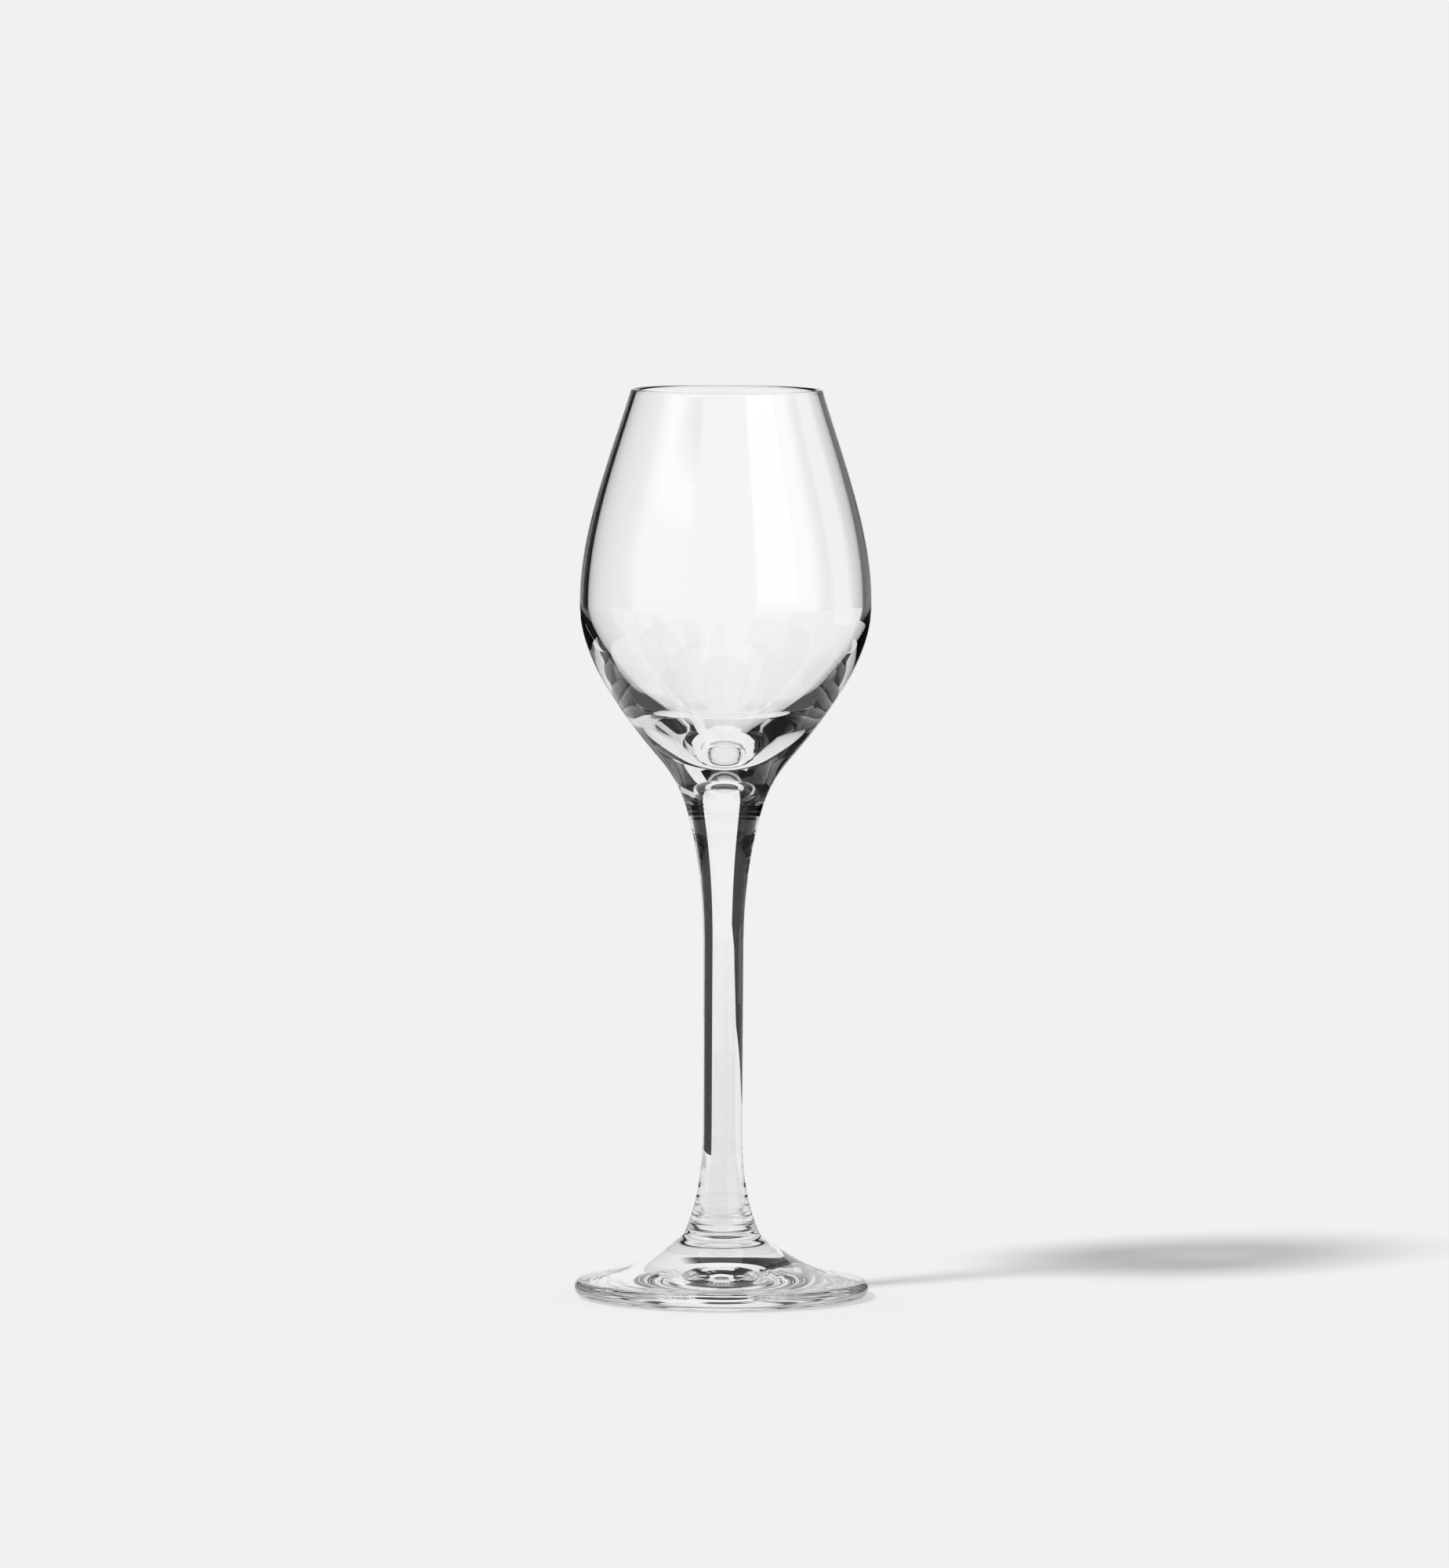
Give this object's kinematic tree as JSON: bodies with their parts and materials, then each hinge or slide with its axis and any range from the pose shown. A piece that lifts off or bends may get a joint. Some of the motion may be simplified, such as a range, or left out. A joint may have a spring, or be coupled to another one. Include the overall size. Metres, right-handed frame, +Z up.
{
  "type": "liqueur glass",
  "caption": "Clear stemmed liqueur glass: a tulip bowl closed in at the rim, with a thick solid base, on a slim flared stem and a round foot.",
  "frame": {"origin": "centre of the foot's resting ring, on the surface the glass stands on", "axes": "+Z up the axis of the stem towards the rim; X and Y are free, because the glass is turned"},
  "size_m": [0.0568, 0.0568, 0.175],
  "materials": {
    "clear_glass": "polished, colourless"
  },
  "bodies": {
    "root": {"bowl": "clear_glass", "stem": "clear_glass", "foot": "clear_glass"}
  },
  "joints": []
}
